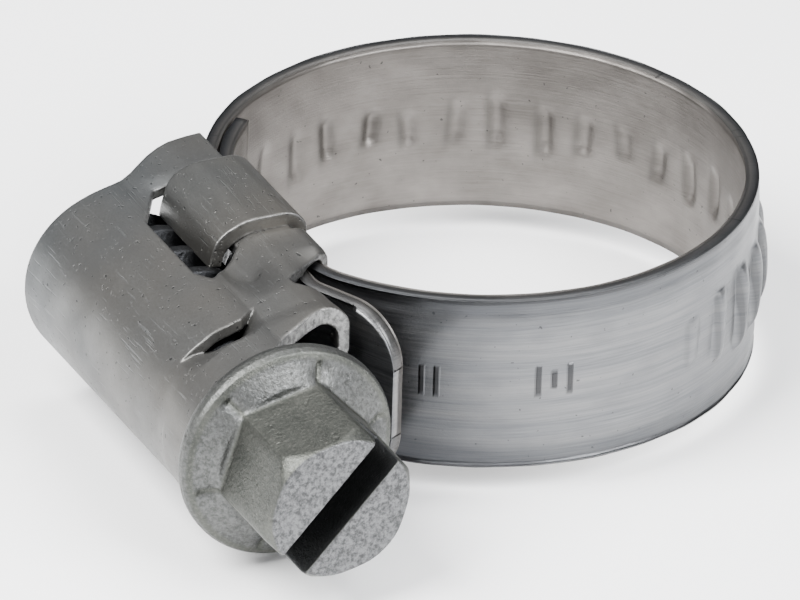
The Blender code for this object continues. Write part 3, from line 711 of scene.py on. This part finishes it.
def housing_cut(x, y, z):
    az = np.abs(z)
    front = np.abs((x - np.interp(y, FRONT_Y, FRONT_X)) * 0.85)
    tail = np.abs((x - np.interp(y, TAIL_Y, TAIL_X)) * 0.9)
    hole = np.abs(window_field(x, y))
    gap = np.where(az > 3.6, np.abs(notch_field(x, y)), 9)
    near = np.minimum(np.minimum(front * 0.7, tail), np.minimum(hole, gap))
    surface = np.abs(np.abs(sheet_at(x, y, az)))
    return np.clip(1.15 - near / 0.05, 0, 1) * np.clip(surface / 0.05, 0.25, 1)


paint(housing, "cut", housing_cut)

# ---------------------------------------------------------------- saddle plate with its hooks
SADDLE_Y = -10.78
section_saddle = rounded([(SADDLE_Y, -0.5, 0), (SADDLE_Y, 5.47, 0.95), (-13.75, 5.50, 2.2), (-14.98, 4.72, 1.6), (-15.2, 3.4, 0)])
saddle_field = Field((-16.5, -0.4), (-9.8, 6.6), lambda a, b: segment_distance(a, b, section_saddle))


def saddle_shape(x, y, z):
    az = np.abs(z)
    half = 0.31 + 0.09 * smooth(4.2, 5.3, az)
    d = saddle_field(y, az) - half
    tip = smooth(-14.2, -15.4, y)
    d = smax(d, x - (2.85 - 0.12 * tip), 0.07)
    d = smax(d, -3.4 + 0.35 * tip**2 - x, 0.16)
    plate = smax(np.abs(y - SADDLE_Y) - 0.31, np.maximum(az - 3.2, x - 5.0), 0.12)
    plate = smax(plate, -3.4 - x, 0.12)
    d = smin(d, plate, 0.10)
    # The tip is sheared square.
    return smax(d, 3.58 - az + np.where(y > -14.0, -9, 0), 0.08)


saddle = skin("saddle_plate", saddle_shape, (-3.7, -15.8, -6.2), (5.3, -10.2, 6.2), H * 0.85)


def saddle_cut(x, y, z):
    az = np.abs(z)
    face = np.clip(1.2 - np.abs(x - 2.85 + 0.12 * smooth(-14.2, -15.4, y)) / 0.05, 0, 1)
    rim = np.clip(1.0 - np.abs(x + 3.4) / 0.06, 0, 1) * 0.6
    tip = np.where(y < -14.0, np.clip(1.0 - np.abs(az - 3.58) / 0.06, 0, 1) * 0.8, 0)
    outer = np.clip((saddle_field(y, az) - 0.22) / 0.12, 0, 1)
    return np.maximum(np.maximum(face * (0.05 + 0.95 * outer), rim), tip)


paint(saddle, "cut", saddle_cut)

# ---------------------------------------------------------------- worm screw
lathe = [
    (-4.5, -1.0), (-4.5, 1.9), (-4.35, 2.35), (-3.9, 3.2), (8.8, 3.2), (9.15, 2.72), (10.45, 2.72), (10.75, 3.85), (13.4, 3.85),
    (13.45, 5.05), (13.62, 5.32), (13.9, 5.42), (14.25, 5.42), (14.5, 5.30), (14.62, 5.02), (14.66, 4.9), (15.22, 3.9), (15.22, -1.0),
]  # fmt: skip
lathe_field = Field((-5.5, -1.2), (21.5, 6.6), lambda a, b: polygon_distance(a, b, lathe))
CREST_X = RIB_X0 + RIB_PITCH / 2
slot_angle = math.radians(47.0)


def hex_distance(y, z):
    angle = np.arctan2(z, y) - math.radians(HEX_TURN)
    within = np.mod(angle, math.pi / 3) - math.pi / 6
    r = np.hypot(y, z)
    d = r * np.cos(within) - HEX_AF / 2
    return smax(d, r - 4.0, 0.25)


def screw_shape(x, y, z):
    yy = y - SCREW_Y
    r = np.hypot(yy, z)
    angle = np.arctan2(z, yy)
    d = lathe_field(x, r)
    # Petals pressed into the flange's front, with a crease at each corner of the hexagon.
    within = np.abs(np.mod(angle - math.radians(HEX_TURN), math.pi / 3) - math.pi / 6) / (math.pi / 6)
    petal = (0.24 * smooth(5.05, 4.6, r) * (within**7)) * smooth(14.2, 14.5, x)
    d = d + petal
    # Thread.
    turn = (x - CREST_X) / RIB_PITCH - angle / (2 * math.pi)
    t = np.abs(turn - np.round(turn)) * RIB_PITCH
    ends = np.clip(np.minimum(x + 4.0, 8.2 - x) / 0.8, 0, 1)
    crest = 3.15 + 0.75 * ends * np.clip((0.62 - t) / 0.36, 0, 1)
    thread = np.maximum((r - crest) * 0.72, np.maximum(-4.3 - x, x - 8.6))
    d = smin(d, thread, 0.12)
    head = smax(hex_distance(yy, z), x - HEX_FRONT_X, 0.16)
    head = smax(head, (x - 20.1) * 0.5 + (r - 3.66) * 0.866, 0.12)
    head = smax(head, 13.9 - x, 0.1)
    d = smin(d, head, 0.26)
    across = -math.sin(slot_angle) * yy + math.cos(slot_angle) * z
    slot = smax(np.abs(across) - 0.85, 17.75 - x, 0.1)
    return smax(d, -slot, 0.06)


screw = skin("worm_screw_body", screw_shape, (-4.8, -22.4, -5.65), (20.7, -11.1, 5.65), H)


def screw_bright(x, y, z):
    yy = y - SCREW_Y
    r = np.hypot(yy, z)
    angle = np.arctan2(z, yy)
    within = np.abs(np.mod(angle - math.radians(HEX_TURN), math.pi / 3) - math.pi / 6) / (math.pi / 6)
    petals = 0.55 * smooth(14.50, 14.66, x) * (1 - smooth(15.2, 15.35, x)) * smooth(5.12, 4.95, r) * (1 - 1.0 * smooth(0.90, 0.97, within))
    front = smooth(HEX_FRONT_X - 0.10, HEX_FRONT_X - 0.04, x)
    chamfer = smooth(20.0, 20.2, x) * smooth(3.62, 3.75, r)
    rim = 0.35 * smooth(13.4, 13.7, x) * (1 - smooth(14.4, 14.6, x)) * smooth(5.2, 5.35, r)
    across = np.abs(-math.sin(slot_angle) * yy + math.cos(slot_angle) * z)
    # Painted shade inside the slot.
    slot = np.where((across < 0.9) & (x > 17.6) & (x < HEX_FRONT_X - 0.1), -0.85, 0.0)
    # Painted shade on the thread and shank, which lie inside the housing.
    inside = np.where((x < 13.4) & (x > -4.1), -1.0, 0.0)
    return np.where(slot < 0, slot, np.maximum(np.maximum(petals, front), np.maximum(chamfer, rim))) + inside


paint(screw, "bright", screw_bright)

# ---------------------------------------------------------------- finishes
BAND = band_steel("band_rolled")
HOUSING = sheet_steel("housing_pressed", (0.073, 0.077, 0.079), (0.128, 0.132, 0.132), (0.25, 0.25, 0.245))
SADDLE = sheet_steel("saddle_pressed", (0.083, 0.086, 0.085), (0.142, 0.144, 0.14), (0.25, 0.248, 0.242), 0.42)
SCREW = screw_steel("screw_headed")
for piece, material, body, nodes, slot_name in (
    (band_ring, BAND, "clamp", ("band_ring",), "band_steel"),
    (band_free, BAND, None, ("band_tail", "band_tip"), "band_steel"),
    (housing, HOUSING, "clamp", ("housing",), "housing_steel"),
    (saddle, SADDLE, "clamp", ("saddle_bridge",), "saddle_steel"),
    (screw, SCREW, "screw", ("worm_screw",), "screw_steel"),
):
    piece.data.materials.append(material)
    if body:
        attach(piece, body)
    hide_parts(*nodes)
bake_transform(band_free)
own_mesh(band_ring)

# ---------------------------------------------------------------- floor and light
floor_mesh = bpy.data.meshes.new("floor")
FLOOR_Z = -5.93
floor_mesh.from_pydata([(x * 0.6, y * 0.6, FLOOR_Z * MM) for x, y in ((-1, -1), (1, -1), (1, 1), (-1, 1))], [], [(0, 1, 2, 3)])
floor = bpy.data.objects.new("floor", floor_mesh)
bpy.context.scene.collection.objects.link(floor)
paper = Nodes("floor_paper")
grain = paper.noise(paper.coords(), 900, 2, 0.5)
paper.shader.inputs["Metallic"].default_value = 0.0
paper.link(paper.mix(grain, (0.955, 0.955, 0.958), (0.97, 0.97, 0.97)), paper.shader.inputs["Base Color"])
paper.shader.inputs["Roughness"].default_value = 0.9
paper.shader.inputs["Specular IOR Level"].default_value = 0.1
floor_mesh.materials.append(paper.material)

world = bpy.data.worlds.new("studio")
bpy.context.scene.world = world
world.use_nodes = True
world.node_tree.nodes["Background"].inputs["Color"].default_value = (0.93, 0.95, 1.0, 1.0)
world.node_tree.nodes["Background"].inputs["Strength"].default_value = 0.24


def softbox(name, direction, distance, size, power, colour=(1, 1, 1)):
    """An area light that faces the object from a direction given in the camera's right, back and up."""
    back = -Vector((look.x, look.y, 0)).normalized()
    place = right * direction[0] + back * direction[1] + Vector((0, 0, 1)) * direction[2]
    place = place.normalized() * distance
    data = bpy.data.lights.new(name, "AREA")
    data.shape = "RECTANGLE"
    data.size, data.size_y = size
    data.energy = power
    data.color = colour
    light = bpy.data.objects.new(name, data)
    light.location = place + centre
    light.rotation_euler = (-place).to_track_quat("-Z", "Y").to_euler()
    bpy.context.scene.collection.objects.link(light)
    return light


softbox("key_left", (-0.75, 0.55, 1.15), 0.34, (0.24, 0.20), 4.2)
softbox("fill_right", (0.9, 0.75, 0.95), 0.34, (0.20, 0.18), 2.6, (0.97, 0.98, 1.0))
softbox("top_back", (0.1, -0.55, 1.5), 0.36, (0.24, 0.20), 1.0)
